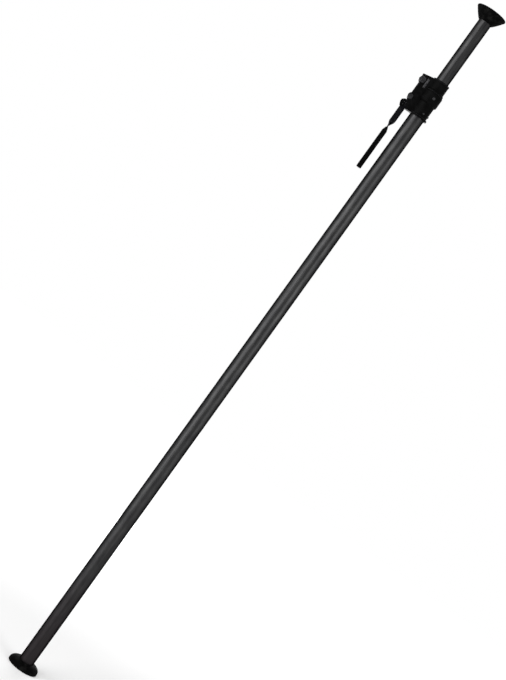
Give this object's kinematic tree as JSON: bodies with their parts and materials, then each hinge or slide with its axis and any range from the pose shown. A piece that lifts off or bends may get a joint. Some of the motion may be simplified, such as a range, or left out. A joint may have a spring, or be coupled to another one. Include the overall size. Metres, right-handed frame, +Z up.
{
  "type": "floor-to-ceiling pole",
  "caption": "Telescopic floor-to-ceiling pole: a mast slides from a tube on a rubber foot, a cam lever on the clamp lifts and locks it, and a rubber head presses on the ceiling.",
  "frame": {"origin": "centre of the foot's underside, on the axis of the tubes", "axes": "+Z up along the pole to the ceiling; the lever and its tower are on the -X side; seen from -Y, the lever hangs to the left of the tube"},
  "size_m": [0.1118, 0.0936, 2.25],
  "materials": {
    "anodised_tube": "drawn tube, black anodised, satin",
    "rubber": "moulded black rubber, matt",
    "cast_black": "die-cast alloy under black powder coat",
    "nylon": "black glass-filled nylon",
    "black_steel": "steel, black oxide",
    "spring_steel": "bright spring steel",
    "grip_plastic": "black moulded plastic, fine texture"
  },
  "bodies": {
    "base": {"foot_cup": "rubber", "foot_plug": "nylon", "foot_washer": "black_steel", "foot_screw": "black_steel", "lower_tube": "anodised_tube", "clamp_body": "cast_black", "top_cap": "cast_black", "guide_bush": "nylon", "tube_rivet_front": "black_steel", "tube_rivet_side": "black_steel", "tube_rivet_rear": "black_steel", "guide_screw_front": "black_steel", "guide_screw_rear": "black_steel", "cap_screw_front": "black_steel", "cap_screw_rear": "black_steel", "lever_pivot_pin": "black_steel", "pivot_clip": "spring_steel", "trigger_pin": "black_steel", "trigger_spring": "spring_steel"},
    "carriage": {"lift_cage": "cast_black", "cage_lid": "nylon", "follower_pad": "black_steel", "pad_screw": "black_steel", "jam_spring": "spring_steel"},
    "turn_ring": {"turn_ring": "nylon"},
    "mast": {"inner_tube": "anodised_tube", "slider_plug": "nylon", "slider_rivet_left": "black_steel", "slider_rivet_right": "black_steel", "head_cup": "rubber", "head_plug": "nylon", "head_washer": "black_steel", "head_screw": "black_steel"},
    "plate": {"jam_plate": "black_steel"},
    "trigger": {"release_trigger": "grip_plastic"},
    "lever": {"lever_blade": "black_steel", "cam_plate_front": "black_steel", "cam_plate_rear": "black_steel", "cam_rivet_upper": "black_steel", "cam_rivet_lower": "black_steel", "lever_grip": "grip_plastic", "grip_rivet": "black_steel", "catch_pin": "black_steel", "catch_spring": "spring_steel"},
    "catch": {"safety_catch": "grip_plastic"}
  },
  "joints": [
    {"name": "lever_swing", "type": "hinge", "parent": "base", "child": "lever", "pos_m": [-0.0492, 0, 1.931], "axis": [0, 1, 0], "range_deg": [0, 110]},
    {"name": "carriage_lift", "type": "slide", "parent": "base", "child": "carriage", "axis": [0, 0, 1], "range_m": [-0.008, 0]},
    {"name": "mast_turn", "type": "hinge", "parent": "carriage", "child": "turn_ring", "pos_m": [0, 0, 1.9515], "axis": [0, 0, 1], "continuous": true},
    {"name": "mast_slide", "type": "slide", "parent": "turn_ring", "child": "mast", "axis": [0, 0, 1], "range_m": [-0.15, 1.45]},
    {"name": "plate_tilt", "type": "hinge", "parent": "carriage", "child": "plate", "pos_m": [0.0232, 0, 1.9573], "axis": [0, 1, 0], "range_deg": [0, 3], "deforming": ["jam_spring"]},
    {"name": "trigger_press", "type": "hinge", "parent": "base", "child": "trigger", "pos_m": [-0.0492, 0, 1.989], "axis": [0, -1, 0], "range_deg": [0, 12], "stiffness_Nm_per_rad": 0.1, "springref_deg": -11.46},
    {"name": "catch_press", "type": "hinge", "parent": "lever", "child": "catch", "pos_m": [-0.0547, 0, 1.903], "axis": [0, -1, 0], "range_deg": [0, 12], "stiffness_Nm_per_rad": 0.05, "springref_deg": -11.46}
  ],
  "couplings": [
    {"joint": "carriage_lift", "follows": "lever_swing", "m_per_rad": -0.0041669},
    {"joint": "plate_tilt", "follows": "trigger_press", "ratio": 0.2499}
  ]
}
